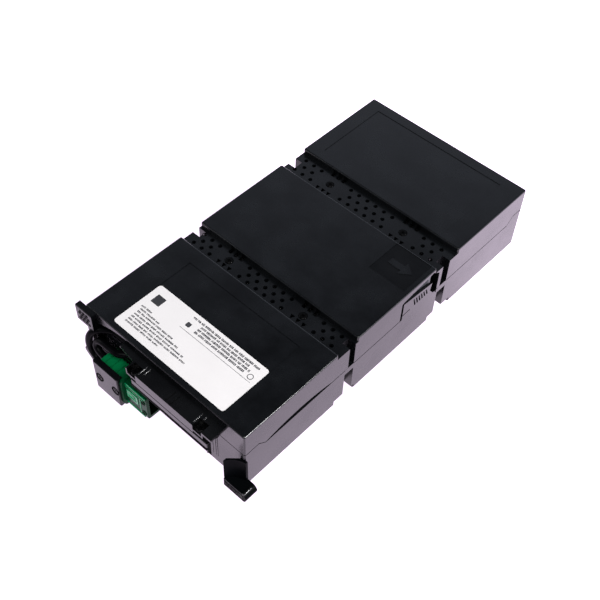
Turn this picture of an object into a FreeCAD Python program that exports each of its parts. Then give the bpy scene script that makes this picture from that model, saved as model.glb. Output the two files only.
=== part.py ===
"""Rack battery cartridge: six sealed lead-acid blocks in a two-part moulded case.

Frame: +X to the right, +Y to the back, +Z up, in millimetres. The origin is the
middle of the case's underside. The pull bar, the two-pole connector and the two
corner grips are on the front, which faces -Y.
"""
import FreeCAD, Part
import math
import os

from FreeCAD import Vector

# ---------------------------------------------------------------- battery blocks
block_width = 90.0         # across the case
block_height = 70.0        # each block lies on its side
block_length = 101.0       # along the case, without the tabs
block_corner = 2.0
lid_depth = 9.0            # how far the lid's seam lies behind the tab face
tab_length = 6.3
tab_width = 6.3
tab_thickness = 0.8
tab_spread = 27.0          # each tab from the block's middle
tab_edge = 12.0            # tabs from the nearer long side of the block

# ---------------------------------------------------------------- case walls and bays
wall = 2.5
floor_thickness = 3.0
top_thickness = 2.5
pad_thickness = 1.4        # foam between the blocks and the cover
side_gap = 1.0             # block to side wall
spine_gap = 13.0           # between the two rows of blocks
end_gap = 0.3              # block to the case wall behind it
lead_channel = 9.7         # room for the two leads behind the front wall
tab_room = 6.4             # room for the tabs inside bays two and three
strip_1_length = 25.5
strip_2_length = 33.0
strip_drop = 6.0           # vented strips below the bays' tops
strip_rise = 5.0           # strips' undersides above the bays' undersides
case_edge = 1.6            # rounded edges round the bays' tops
case_corner = 1.2          # bevelled upright edges of the bays
spine_rib_height = 10.0
spine_rib_thickness = 1.5

# ---------------------------------------------------------------- parting line
seam_drop = 34.9           # below the case's top
front_seam_rise = 7.0      # above the seam's long middle stretch
rear_seam_rise = 8.0
front_seam_run = 17.0      # high stretch at the front
rear_seam_run = 15.0       # high stretch at the back
seam_slope = 8.0           # length of each sloped step
seam_gap = 1.0             # width of the dark line between tray and cover
seam_depth = 1.0
lens_start = 25.0          # arched gap under the cover in bay one
lens_end = 110.0
lens_rise = 5.0

# ---------------------------------------------------------------- side channels
channel_depth = 9.0
channel_flange = 7.2       # bridge across each channel
channel_flange_rise = 0.2  # bridge's top above the middle of the parting line
channel_1_start = 11.0     # from the start of strip one
channel_1_width = 12.0
channel_1_upper_width = 8.0
channel_2_start = 8.0      # from the start of strip two
channel_2_width = 13.0
channel_2_upper_width = 10.5

# ---------------------------------------------------------------- top of the cover
vent_radius = 1.5
vent_pitch = 10.7
vent_middle = -2.0         # the pattern's middle, across the case
vent_outer = 77.0          # outer groups of holes from that middle
strip_1_row_pitch = 7.0
strip_2_row_pitch = 8.7
cover_screw_spread = 47.2  # cover screws from the pattern's middle
catch_pitch = 7.0          # catch windows beside each cover screw
catch_width = 4.0
catch_depth = 5.0
label_width = 138.0
label_length = 56.5
label_thickness = 0.2
label_corner = 3.0
label_margin = 6.0         # label to the front edge
label_recess_length = 94.0
recess_depth = 0.5
arrow_panel = 42.0
arrow_panel_margin = 5.0
rear_panel_left = 17.0
rear_panel_right = 23.0
rear_panel_margin = 13.0

# ---------------------------------------------------------------- side latch, right side only
latch_start = 63.0         # cover's window, from the start of bay two
latch_length = 55.5
latch_front_rise = 24.5    # above the parting line
latch_peak_rise = 32.0
latch_gap = 3.0
latch_tab_length = 43.0
latch_tab_front_rise = 22.5
latch_tab_back_rise = 17.0
latch_ribs = 6
latch_rib_pitch = 3.7

# ---------------------------------------------------------------- pull bar on the front
bar_reach = 18.0
bar_drop = 6.0             # bar's top below the case's top
bar_height = 21.0
bar_split = 11.0           # the cover's lip, from the bar's top
bar_split_gap = 0.8
bar_thickness = 2.5
bar_end_drop = 5.0         # stop at the bar's right end, below its underside
bar_end_depth = 4.0
bar_end_thickness = 1.5
bar_left = -21.0
bar_right = 74.0
hood_left = -47.0
hood_right = 79.0
pocket_width = 10.5
pocket_depth = 9.5
pocket_floor = 2.0
pocket_wall = 1.5
left_pocket_middle = -19.0
right_pocket_middle = 62.5
bar_screw_drop = 6.0       # pocket floor's top below the bar's top
bar_rib_room = 35.0        # two small ridges on the hood, from the right pocket
bar_rib_pitch = 5.7
bar_rib_width = 1.2
bar_rib_height = 0.9

# ---------------------------------------------------------------- connector on the front
connector_inset = 32.0     # from the case's left side
connector_rear_length = 31.3
connector_flange_thickness = 2.7
connector_length = 62.0
connector_band_pitch = 8.0
connector_depth = 16.6
connector_bottom = 8.0
connector_height = 31.5
connector_corner = 3.0
flange_front = 3.4         # flange beyond the body's front
flange_up = 3.5            # flange beyond the body's top and bottom
flange_corner = 5.0
mouth_wall = 3.2
mouth_depth = 16.0
pole_spacing = 16.0
contact_length = 8.0
contact_width = 8.0
contact_thickness = 2.4
bracket_overlap = 2.0      # bracket beyond the connector's left end
bracket_thickness = 6.0
bracket_bottom = 3.4
bracket_height = 40.4
bracket_screw_spacing = 21.5
bracket_screw_inset = 5.0  # first screw from the connector's left end
rest_drop = 5.0            # case wall behind the connector, below the front parting line
guide_rise = 6.0           # lead guide above the front parting line
guide_inset = 27.0         # from the case's left side
guide_width = 16.0

# ---------------------------------------------------------------- lead window
window_inset = 10.0        # from the case's left side
window_width = 56.0
window_sill = 24.0
window_arch_radius = 72.5
window_arch_middle = 45.0  # arch's highest point from the window's left edge
window_arch_drop = 2.9     # arch's highest point below the case's top

# ---------------------------------------------------------------- corner grips
grip_overhang = 7.0        # left grip beyond the case's side
grip_width = 22.0
grip_top_pad = 20.0
grip_bottom_pad = 12.0
grip_reach = 6.0
grip_column_reach = 2.5
grip_column_width = 5.5
grip_column_start = 18.0   # straight stretch of the column, above the bottom pad
grip_cut_corner = 8.0
honeycomb_pitch = 4.2
honeycomb_radius = 1.75
honeycomb_depth = 1.0
foot_inset = 14.0          # foot's left edge from the case's right side
foot_width = 23.0
foot_reach = 12.5
foot_height = 11.0
foot_nose = 3.5
foot_wrap = 1.6
web_height = 40.0
web_left_depth = 3.6
foot_grooves = 4

# ---------------------------------------------------------------- screws, leads and fuse
screw_shank_radius = 1.9
screw_head_radius = 3.8
screw_head_height = 2.8
screw_head_bevel = 1.0
thread_clearance = 0.05
post_radius = 4.0
cover_screw_length = 16.0
cover_screw_sink = 2.0
lead_diameter = 7.0
link_diameter = 4.5
lead_sides = 12            # the two heavy leads are many-sided bars
link_sides = 8
bend_step = 20.0           # degrees between the mitres of a bend
socket_depth = 6.0
sleeve_length = 12.0
sleeve_width = 9.5
sleeve_height = 9.0
sleeve_socket = 3.0
fuse_width = 32.0
fuse_depth = 12.0
fuse_height = 13.0

# ---------------------------------------------------------------- sizes that follow
width = 2 * (wall + side_gap + block_width) + spine_gap
height = floor_thickness + block_height + pad_thickness + top_thickness
bay_1_length = wall + lead_channel + block_length + end_gap + wall
bay_2_length = wall + tab_room + block_length + end_gap + wall
length = bay_1_length + strip_1_length + bay_2_length + strip_2_length + bay_2_length
right = width / 2
front = -length / 2
back = length / 2
bay_1 = (front, front + bay_1_length)
strip_1 = (bay_1[1], bay_1[1] + strip_1_length)
bay_2 = (strip_1[1], strip_1[1] + bay_2_length)
strip_2 = (bay_2[1], bay_2[1] + strip_2_length)
bay_3 = (strip_2[1], back)
bays = (bay_1, bay_2, bay_3)
strips = (strip_1, strip_2)
strip_top = height - strip_drop
seam_height = height - seam_drop
front_seam_height = seam_height + front_seam_rise
rear_seam_height = seam_height + rear_seam_rise
strip_rows = (strip_1_row_pitch, strip_2_row_pitch)
strip_middles = (strip_1[0] + 13.5, strip_2[0] + 17.5)
block_middle = spine_gap / 2 + block_width / 2
bar_top = height - bar_drop
bar_bottom = bar_top - bar_height
bar_seam = bar_top - bar_split
bar_front = front - bar_reach
connector_left = connector_inset - right
connector_right = connector_left + connector_length
connector_flange_left = connector_left + connector_rear_length
bracket_left = connector_left - bracket_overlap
bracket_screw_left = connector_left + bracket_screw_inset
rest_height = front_seam_height - rest_drop
guide_height = front_seam_height + guide_rise
guide_left = guide_inset - right
guide_right = guide_left + guide_width
window_left = window_inset - right
window_right = window_left + window_width
window_arch_top = height - window_arch_drop
pocket_top = bar_top - bar_screw_drop
connector_top = connector_bottom + connector_height
connector_front = front - connector_depth
connector_middle = front - connector_depth / 2
pole_middle = connector_bottom + connector_height / 2
pole_heights = (pole_middle - pole_spacing / 2, pole_middle + pole_spacing / 2)
grip_left_start = -right - grip_overhang
grip_right_end = grip_left_start + grip_width
foot_left = right - foot_inset
channel_bridge_top = seam_height + channel_flange_rise
channel_lower_top = channel_bridge_top - channel_flange
latch_front_height = seam_height + latch_front_rise
latch_peak = seam_height + latch_peak_rise
latch_tab_front = seam_height + latch_tab_front_rise
latch_tab_back = seam_height + latch_tab_back_rise
screw_hole_radius = screw_shank_radius + 0.3
pilot_radius = screw_shank_radius + thread_clearance
spine_high = 56.0
spine_low = 43.0
spine_links = 34.0


# ================================================================ helpers
def block(x_range, y_range, z_range):
    """A box between two corners, given as ranges."""
    size = [high - low for low, high in (x_range, y_range, z_range)]
    return Part.makeBox(*size, Vector(x_range[0], y_range[0], z_range[0]))


def peg(radius, start, end, sides=10):
    """A many-sided bar between two points: pins, screws and the holes for them."""
    start = Vector(*start)
    along = Vector(*end) - start
    return Part.Face(ring(start, along, radius, sides)).extrude(along)


def ring(centre, along, radius, sides):
    """A regular outline around a point, across a direction."""
    normal = Vector(*along).normalize()
    across = normal.cross(Vector(0, 0, 1) if abs(normal.z) < 0.9 else Vector(1, 0, 0)).normalize()
    up = normal.cross(across)
    corners = []
    for index in range(sides):
        turn = 2 * math.pi * (index + 0.5) / sides
        corners.append(centre + across * radius * math.cos(turn) + up * radius * math.sin(turn))
    return Part.makePolygon(corners + corners[:1])


def bore_radius(diameter, sides=10):
    """Radius of a many-sided bore that clears a lead of any number of sides."""
    return (diameter / 2 + thread_clearance) / math.cos(math.pi / sides)


def plate(points, axis, low, high):
    """A polygon in the plane across an axis, extruded from low to high along it."""
    place = {"x": lambda a, b: Vector(low, a, b),
             "y": lambda a, b: Vector(a, low, b),
             "z": lambda a, b: Vector(a, b, low)}[axis]
    corners = [place(a, b) for a, b in points]
    along = {"x": Vector(1, 0, 0), "y": Vector(0, 1, 0), "z": Vector(0, 0, 1)}[axis]
    face = Part.Face(Part.makePolygon(corners + corners[:1]))
    return face.extrude(along * (high - low))


def rounded_outline(x_range, y_range, radius, steps=5):
    """Corners of a rectangle whose corners are rounded in a few straight steps."""
    points = []
    corners = ((x_range[1] - radius, y_range[1] - radius), (x_range[0] + radius, y_range[1] - radius),
               (x_range[0] + radius, y_range[0] + radius), (x_range[1] - radius, y_range[0] + radius))
    for quarter, (x, y) in enumerate(corners):
        for step in range(steps + 1):
            turn = math.radians(90 * (quarter + step / steps))
            points.append((x + radius * math.cos(turn), y + radius * math.sin(turn)))
    return points


def edges_where(shape, wanted):
    """The edges whose middle and direction pass the test."""
    chosen = []
    for edge in shape.Edges:
        ends = [vertex.Point for vertex in edge.Vertexes]
        if len(ends) == 2 and wanted((ends[0] + ends[1]) * 0.5, (ends[1] - ends[0]).normalize()):
            chosen.append(edge)
    return chosen


def rounded(shape, radius, wanted):
    return shape.makeFillet(radius, edges_where(shape, wanted))


def bevelled(shape, size, wanted):
    return shape.makeChamfer(size, edges_where(shape, wanted))


def joined(shapes):
    """One solid from several that overlap or meet."""
    first, *others = shapes
    return first.fuse(others).removeSplitter() if others else first


def save(name, shape):
    """Write one node, and stop if it isn't made of closed solids."""
    solids = shape.Solids
    assert solids and shape.isValid(), name
    result = solids[0] if len(solids) == 1 else Part.makeCompound(solids)
    result.exportStep("parts/" + name + ".step")
    print(f"{name:22s} solids {len(solids):2d}  volume {result.Volume / 1000:8.2f} cm3")
    return result


def bend(before, corner, after, radius):
    """Points along the tangent arc that rounds one corner of a lead's route."""
    inward = (before - corner).normalize()
    outward = (after - corner).normalize()
    half = inward.getAngle(outward) / 2
    centre = corner + (inward + outward).normalize() * (radius / math.sin(half))
    first = corner + inward * (radius / math.tan(half)) - centre
    last = corner + outward * (radius / math.tan(half)) - centre
    swing = first.getAngle(last)
    steps = max(2, math.ceil(math.degrees(swing) / bend_step))
    points = []
    for step in range(steps + 1):
        share = step / steps
        point = first * math.sin((1 - share) * swing) + last * math.sin(share * swing)
        points.append(centre + point * (1 / math.sin(swing)))
    return points


def cable(route, diameter, sides):
    """A many-sided lead along straight runs and bends, mitred where it turns.

    route is a list of (x, y, z, radius), where the first and last radius are unused.
    """
    corners = [Vector(*item[:3]) for item in route]
    line = corners[:1]
    for index in range(1, len(corners) - 1):
        line += bend(*corners[index - 1:index + 2], route[index][3])
    line.append(corners[-1])
    ways = [(after - before).normalize() for before, after in zip(line, line[1:])]
    outline = [vertex.Point for vertex in ring(line[0], ways[0], diameter / 2, sides).Vertexes]
    rings = [outline]
    for index in range(1, len(line)):
        way = ways[index - 1]
        mitre = way + ways[min(index, len(ways) - 1)]
        outline = [point + way * ((line[index] - point).dot(mitre) / way.dot(mitre)) for point in outline]
        rings.append(outline)
    faces = [Part.Face(Part.makePolygon(end + end[:1])) for end in (rings[0], rings[-1])]
    for low, high in zip(rings, rings[1:]):
        for side in range(sides):
            other = (side + 1) % sides
            flat = [low[side], low[other], high[other], high[side], low[side]]
            faces.append(Part.Face(Part.makePolygon(flat)))
    tube = Part.makeSolid(Part.makeShell(faces))
    if tube.Volume < 0:
        tube.reverse()
    run = sum((after - before).Length for before, after in zip(line, line[1:]))
    print(f"    lead of {run:6.1f} mm, {len(faces)} faces")
    return tube


# ================================================================ case
def case_body(inset, bottom_wall, top_wall):
    """Outside or inside of the closed case, inset from its outer faces."""
    bodies = []
    sides = (inset - right, right - inset)
    for start, end in bays:
        bay = block(sides, (start + inset, end - inset), (bottom_wall, height - top_wall))
        if not inset:
            bay = bevelled(bay, case_corner, lambda middle, along: abs(along.z) > 0.9)
            bay = rounded(bay, case_edge, lambda middle, along: middle.z > height - 0.1)
        bodies.append(bay)
    for start, end in strips:
        overlap = wall + case_edge
        low = strip_rise + bottom_wall
        high = strip_top - top_wall
        bodies.append(block(sides, (start - overlap, end + overlap), (low, high)))
    return joined(bodies)


def channel_places():
    """Each side channel: its side, and its lower and upper stretches along the case."""
    settings = ((strip_1[0] + channel_1_start, channel_1_width, channel_1_upper_width),
                (strip_2[0] + channel_2_start, channel_2_width, channel_2_upper_width))
    places = []
    for start, lower, upper in settings:
        end = start + lower
        for side in (-1, 1):
            places.append((side, (start, end), (end - upper, end)))
    return places


def side_channels(grow):
    """The four open channels in the case's sides, grown by a wall thickness."""
    tools = []
    inner = right - channel_depth - grow
    for side, lower, upper in channel_places():
        across = sorted((side * inner, side * (right + wall)))
        lower_top = channel_bridge_top if grow else channel_lower_top
        tools.append(block(across, (lower[0] - grow, lower[1] + grow), (-wall, lower_top)))
        tools.append(block(across, (upper[0] - grow, upper[1] + grow),
                           (channel_bridge_top - grow, height + wall)))
    return tools


def channel_bridges():
    """Solid bridges across the side channels, at the parting line."""
    inner = right - channel_depth
    return [block(sorted((side * inner, side * right)), lower, (channel_lower_top, channel_bridge_top))
            for side, lower, _ in channel_places()]


def below_seam(shift):
    """Everything under the stepped parting line, moved up by shift."""
    low, high, end = (value + shift for value in (seam_height, front_seam_height, rear_seam_height))
    front_step = front + front_seam_run
    rear_step = back - rear_seam_run
    reach = 2 * wall
    outline = [(front - reach, -reach), (front - reach, high), (front_step, high),
               (front_step + seam_slope, low), (rear_step - seam_slope, low),
               (rear_step, end), (back + reach, end), (back + reach, -reach)]
    return plate(outline, "x", -right - reach, right + reach)


def lens_gaps():
    """Arched gaps between the cover's lower edge and the tray, beside bay one."""
    start = front + lens_start
    end = front + lens_end
    low = seam_height + seam_gap / 2
    middle = Vector(0, (start + end) / 2, low + lens_rise)
    arc = Part.Arc(Vector(0, start, low), middle, Vector(0, end, low)).toShape()
    base = seam_height - seam_gap
    rest = Part.makePolygon([Vector(0, end, low), Vector(0, end, base),
                             Vector(0, start, base), Vector(0, start, low)])
    face = Part.Face(Part.Wire([arc] + rest.Edges))
    depth = wall + 1
    tool = face.extrude(Vector(depth, 0, 0))
    return [tool.translated(Vector(x, 0, 0)) for x in (right - wall - 0.5, -right - 0.5)]


def lead_window():
    """Arched opening in the case's front wall, behind the leads."""
    def arch(x):
        offset = x - window_left - window_arch_middle
        drop = window_arch_radius - math.sqrt(window_arch_radius ** 2 - offset ** 2)
        return Vector(x, 0, window_arch_top - drop)

    left = arch(window_left)
    right_end = arch(window_right)
    arc = Part.Arc(left, arch((window_left + window_right) / 2), right_end).toShape()
    sides = Part.makePolygon([right_end, Vector(window_right, 0, window_sill),
                              Vector(window_left, 0, window_sill), left])
    face = Part.Face(Part.Wire([arc] + sides.Edges))
    opening = face.extrude(Vector(0, wall + 2, 0)).translated(Vector(0, front - 1, 0))
    across = (front - 2, front + wall + 2)
    rests = [block((guide_left, window_right + 1), across, (0, rest_height)),
             block((guide_left, guide_right), across, (0, guide_height))]
    return opening, opening.cut(rests)


def latch_window():
    """Opening in the cover's right side, round the spring latch."""
    start = bay_2[0] + latch_start
    end = start + latch_length
    base = seam_height - seam_gap
    outline = [(start, base), (start, latch_front_height), (start + 2, latch_front_height + 1.5),
               (end - 10, latch_peak), (end, latch_front_height), (end, base)]
    return plate(outline, "x", right - wall - 1, right + 1)


def latch_tab():
    """Spring latch that is moulded with the tray's right wall."""
    start = bay_2[0] + latch_start + latch_gap
    back_end = start + latch_tab_length
    foot = back_end + 6.0
    base = seam_height - 3.0
    outline = [(start, base), (start, latch_tab_front), (back_end, latch_tab_back),
               (back_end - 2, latch_tab_back - 9), (foot, base)]
    tab = plate(outline, "x", right - wall, right)
    tools = [block((right - wall - 1, right + 1), (start - 1, start + 11),
                   (seam_height + 5.5, seam_height + 6.7))]
    slant = 3.0
    rib_width = latch_rib_pitch * 0.55
    low = latch_tab_back - 10.5
    for index in range(latch_ribs):
        y = start + 14.5 + index * latch_rib_pitch
        top = latch_tab_back - 0.2 - index * 0.35
        groove = [(y + slant, low), (y + slant + rib_width, low), (y + rib_width, top), (y, top)]
        tools.append(plate(groove, "x", right - 1.1, right + 1))
    return tab.cut(tools)


def latch_slot():
    """Slot behind the latch, cut into the tray's wall."""
    end = bay_2[0] + latch_start + latch_length
    top = seam_height + 2
    outline = [(end - 4.5, top), (end, seam_height - 5), (end, top)]
    return plate(outline, "x", right - wall - 1, right + 1)


def screw_places():
    """Centres of the four cover screws, seen from above."""
    return [(vent_middle + side * cover_screw_spread, middle)
            for middle in strip_middles for side in (-1, 1)]


def pocket_middles():
    return (left_pocket_middle, right_pocket_middle)


def bar_screw_depth():
    """How far the bar's screws lie behind the bar's front face."""
    return bar_front + pocket_depth / 2


def tray(shell, inside):
    """Lower half of the case, with the bar's lower strip and the latch."""
    gap = seam_gap / 2
    lower = shell.common(below_seam(-gap))
    ring = case_body(seam_depth, seam_depth, seam_depth).cut(side_channels(seam_depth))
    ring = ring.cut(inside).common(below_seam(gap)).cut(below_seam(-gap - 0.5))
    ring = ring.cut([latch_window()] + side_channels(0))
    body = joined([lower, ring, latch_tab()])
    extras = channel_bridges()
    for x in pocket_middles():
        sides = (x - pocket_width / 2, x + pocket_width / 2)
        gusset = [(bar_front + bar_thickness, bar_bottom), (front, bar_bottom - 8),
                  (front + wall, bar_bottom - 8), (front + wall, bar_bottom - 2),
                  (front, bar_bottom - 2), (front, pocket_top - pocket_floor),
                  (bar_front + bar_thickness, pocket_top - pocket_floor)]
        extras.append(plate(gusset, "x", *sides))
    strip_range = (bar_bottom, bar_seam - bar_split_gap / 2)
    strip = block((bar_left, bar_right), (bar_front, bar_front + bar_thickness), strip_range)
    extras.append(rounded(strip, 1.0, lambda middle, along: middle.y < bar_front + 0.1))
    stop_depth = (bar_front + 0.6, bar_front + bar_end_depth)
    stop_range = (bar_bottom - bar_end_drop, bar_seam - bar_split_gap / 2)
    extras.append(block((bar_right - bar_end_thickness, bar_right), stop_depth, stop_range))
    guide = block((guide_left, guide_right), (front, front + wall), (rest_height - 2, guide_height))
    extras.append(guide)
    for x, y in screw_places():
        base = strip_rise + floor_thickness / 2
        extras.append(peg(post_radius, (x, y, base), (x, y, strip_top - top_thickness)))
    for start, end in bays:
        inner = (start + 2 * wall, end - 2 * wall)
        top = floor_thickness + spine_rib_height
        for side in (-1, 1):
            edge = side * (spine_gap / 2 - 0.2)
            rib = sorted((edge, edge - side * spine_rib_thickness))
            extras.append(block(rib, inner, (floor_thickness / 2, top)))
    for x in bracket_screw_places():
        extras.append(peg(post_radius, (x, front + wall / 2, pole_middle),
                          (x, front + wall + 4, pole_middle)))
    body = joined([body] + extras)
    tools = [latch_slot(), lead_window()[1]]
    for x in pocket_middles():
        y = bar_screw_depth()
        tools.append(peg(pilot_radius, (x, y, bar_bottom + 2), (x, y, bar_top)))
    for x, y in screw_places():
        top = strip_top - top_thickness
        tools.append(peg(pilot_radius, (x, y, top - cover_screw_length), (x, y, top + 1)))
    for x in bracket_screw_places():
        tools.append(peg(pilot_radius, (x, front - 1, pole_middle), (x, front + wall + 5, pole_middle)))
    return body.cut(tools)


def hood():
    """The cover's front ledge, with its lip and the two screw pockets."""
    step = [(hood_left, front), (hood_left, front - 6), (left_pocket_middle - 7, front - 9),
            (left_pocket_middle - 7, bar_front), (hood_right, bar_front), (hood_right, front)]
    pieces = [plate(step, "z", bar_top - bar_thickness, bar_top)]
    first = left_pocket_middle + pocket_width / 2
    last = right_pocket_middle - pocket_width / 2
    lip_low = bar_seam + bar_split_gap / 2
    pieces.append(block((first, last), (bar_front, bar_front + bar_thickness), (lip_low, bar_top)))
    cuts = []
    for x in pocket_middles():
        half = pocket_width / 2
        outer = (x - half - pocket_wall, x + half + pocket_wall)
        deep = bar_front + pocket_depth
        pieces.append(block(outer, (bar_front, deep + pocket_wall), (pocket_top - pocket_floor, bar_top)))
        cuts.append(block((x - half, x + half), (bar_front - 1, deep), (pocket_top, bar_top + 1)))
        y = bar_screw_depth()
        cuts.append(peg(screw_hole_radius, (x, y, pocket_top - 3), (x, y, pocket_top + 1)))
    pieces.append(block((hood_left, hood_right), (front - 1, front + wall),
                        (bar_top - bar_thickness, bar_top)))
    for x in (last - bar_rib_room, last - bar_rib_room + bar_rib_pitch):
        ridge = (bar_top - 1, bar_top + bar_rib_height)
        pieces.append(block((x, x + bar_rib_width), (bar_front + 2, front - 5), ridge))
    return joined(pieces).cut(cuts)


def vent_holes():
    """Round holes of both strips: outer groups of 3, 2 and 3, and a middle of 6, 5 and 6."""
    tools = []
    for middle, pitch in zip(strip_middles, strip_rows):
        for row in (-1, 0, 1):
            staggered = row == 0
            groups = ((-vent_outer, 3 - staggered), (0, 6 - staggered), (vent_outer, 3 - staggered))
            for group, count in groups:
                for index in range(count):
                    x = vent_middle + group + (index - (count - 1) / 2) * vent_pitch
                    y = middle + row * pitch
                    tools.append(peg(vent_radius, (x, y, strip_top - top_thickness - 1),
                                     (x, y, strip_top + 1), 8))
    return tools


def catch_openings():
    """Three-cornered and square windows over the cover's snap catches, at each cover screw."""
    tools = []
    low = strip_top - top_thickness - 1
    for (start, end), middle in zip(strips, strip_middles):
        for side in (-1, 1):
            for index in (-1, 0, 1):
                x = vent_middle + side * cover_screw_spread + index * catch_pitch
                half = catch_width / 2 + 0.5
                tip = start + 3.2
                corner = [(x - half, tip + catch_depth), (x + half, tip + catch_depth), (x, tip)]
                tools.append(plate(corner, "z", low, strip_top + 1))
                slot = (x - catch_width / 2, x + catch_width / 2)
                tools.append(block(slot, (end - catch_depth, end + 1.2), (low, height - 1.2)))
    return tools


def top_recesses():
    """Shallow fields in the bays' tops: label, arrow panel and rear panel."""
    low = height - recess_depth
    label_front = front + label_margin - 1
    label_side = label_width / 2 + 0.6
    panel_right = right - arrow_panel_margin
    panel_back = bay_2[1] - 1.5
    return [
        block((-label_side, label_side), (label_front, label_front + label_recess_length), (low, height + 1)),
        block((panel_right - arrow_panel, panel_right), (panel_back - arrow_panel, panel_back),
              (low, height + 1)),
        block((rear_panel_left - right, right - rear_panel_right),
              (bay_3[0] + rear_panel_margin, back - rear_panel_margin), (low, height + 1)),
    ]


def cover(shell):
    """Upper half of the case, with vents, catch windows, screw recesses and the hood."""
    upper = shell.cut(below_seam(seam_gap / 2))
    arch = lead_window()[0]
    guide_room = block((window_left, window_right), (front - 1, front + wall + 1), (0, guide_height))
    body = upper.cut([arch, guide_room, latch_window()] + lens_gaps())
    body = joined([body, hood()])
    tools = vent_holes() + catch_openings() + top_recesses()
    for x, y in screw_places():
        floor = strip_top - cover_screw_sink
        tools.append(peg(screw_head_radius + 0.7, (x, y, floor), (x, y, strip_top + 1)))
        tools.append(peg(screw_hole_radius, (x, y, floor - 3), (x, y, floor + 1)))
    return body.cut(tools)


# ================================================================ connector
def bracket_screw_places():
    return (bracket_screw_left, bracket_screw_left + bracket_screw_spacing)


def connector_housing():
    """Two-pole power connector, wires in at the left, mouth at the right."""
    depth = (connector_front, front)
    tall = (connector_bottom, connector_top)
    outline = rounded_outline(depth, tall, connector_corner, 3)
    body = plate(outline, "x", connector_left, connector_right)
    flange_end = connector_flange_left + connector_flange_thickness
    reach = (connector_front - flange_front, front + flange_corner)
    rise = (connector_bottom - flange_up, connector_top + flange_up)
    flange = plate(rounded_outline(reach, rise, flange_corner, 4), "x", connector_flange_left, flange_end)
    flange = flange.common(block((connector_flange_left, flange_end), (reach[0], front), rise))
    body = joined([body, flange])
    inside = [(low + mouth_wall, high - mouth_wall) for low, high in (depth, tall)]
    mouth = plate(rounded_outline(*inside, 1.5, 2), "x", connector_right - mouth_depth, connector_right + 1)
    tools = [mouth]
    for z in pole_heights:
        tools.append(peg(bore_radius(lead_diameter), (connector_left - 1, connector_middle, z),
                         (connector_left + socket_depth, connector_middle, z)))
    for x in bracket_screw_places():
        tools.append(peg(screw_hole_radius, (x, connector_front - 1, pole_middle),
                         (x, front + 1, pole_middle)))
    for number in range(3):
        x = connector_left + bracket_screw_inset + number * connector_band_pitch
        tools.append(block((x, x + 1.2), (connector_front - 1, front + 1),
                           (connector_top - 0.7, connector_top + 1)))
    front_panel = (connector_front - 1, connector_front + 0.6)
    panel_start = flange_end + 3
    panel_end = connector_right - 7
    for z in (connector_bottom + 6, connector_top - 8):
        tools.append(block((panel_start, panel_end), front_panel, (z, z + 0.9)))
    for z, radius in ((pole_middle + 5, 1.9), (pole_middle - 7, 1.1)):
        tools.append(peg(radius, (connector_right - 4, connector_front - 1, z),
                         (connector_right - 4, connector_front + 1.5, z)))
    return body.cut(tools)


def contact(z):
    """One flat contact inside the mouth."""
    start = connector_right - mouth_depth
    blade = block((start, start + contact_length),
                  (connector_middle - contact_thickness / 2, connector_middle + contact_thickness / 2),
                  (z - contact_width / 2, z + contact_width / 2))
    tip = start + contact_length - 0.1
    return bevelled(blade, 0.8, lambda middle, along: middle.x > tip and abs(along.z) > 0.9)


def connector_bracket():
    """Front clamp plate that holds the connector against the case."""
    plate_front = connector_front - bracket_thickness
    end = connector_flange_left - 0.3
    body = block((bracket_left, end), (plate_front, connector_front),
                 (bracket_bottom, bracket_bottom + bracket_height))
    body = bevelled(body, 0.8, lambda middle, along: middle.y < plate_front + 0.1)
    tools = []
    for x in bracket_screw_places():
        tools.append(peg(screw_head_radius + 0.5, (x, plate_front - 1, pole_middle),
                         (x, plate_front + screw_head_height, pole_middle)))
        tools.append(peg(screw_hole_radius, (x, plate_front, pole_middle), (x, front, pole_middle)))
    return body.cut(tools)


# ================================================================ corner grips
def honeycomb(x_range, z_range, y_face):
    """Six-sided pockets in a pad that faces the front."""
    row_pitch = honeycomb_pitch * math.sqrt(3) / 2
    columns = int((x_range[1] - x_range[0]) / honeycomb_pitch)
    rows = max(1, int((z_range[1] - z_range[0]) / row_pitch))
    x_start = (x_range[0] + x_range[1]) / 2 - (columns - 1) * honeycomb_pitch / 2
    z_start = (z_range[0] + z_range[1]) / 2 - (rows - 1) * row_pitch / 2
    tools = []
    for row in range(rows):
        for column in range(columns - row % 2):
            x = x_start + (column + 0.5 * (row % 2)) * honeycomb_pitch
            z = z_start + row * row_pitch
            corners = [(x + honeycomb_radius * math.sin(math.radians(60 * turn)),
                        z + honeycomb_radius * math.cos(math.radians(60 * turn))) for turn in range(6)]
            tools.append(plate(corners, "y", y_face - 1, y_face + honeycomb_depth))
    return tools


def grip_left():
    """C-shaped finger grip on the left corner: two honeycomb pads on a set-back column."""
    face = front - grip_reach
    pad_low = height - grip_top_pad
    ends = (grip_left_start, grip_right_end)
    top = block(ends, (face, front), (pad_low, height))
    top = rounded(top, 1.2, lambda middle, along: middle.y < face + 0.1 and middle.z > height - 0.1)
    cut = grip_cut_corner
    outline = [(ends[0], cut), (ends[0], grip_bottom_pad), (ends[1], grip_bottom_pad),
               (ends[1], 0), (ends[0] + cut, 0)]
    bottom = plate(outline, "y", face + 0.5, front)
    column_start = -right + 1
    column_face = front - grip_column_reach
    scoop = grip_reach - grip_column_reach
    profile = [(front, grip_bottom_pad - 1), (face + 1, grip_bottom_pad - 1),
               (face + 1 + scoop * 0.7, grip_bottom_pad + scoop),
               (column_face, grip_bottom_pad + grip_column_start),
               (column_face, pad_low - scoop), (face + 1, pad_low + 1), (front, pad_low + 1)]
    column = plate(profile, "x", column_start, column_start + grip_column_width)
    body = joined([top, bottom, column])
    pads = honeycomb((ends[0] + 1, ends[1] - 1), (pad_low + 1, height - 1.5), face)
    pads += honeycomb((ends[0] + cut, ends[1] - 1), (2, grip_bottom_pad - 1), face + 0.5)
    return body.cut(pads)


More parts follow.
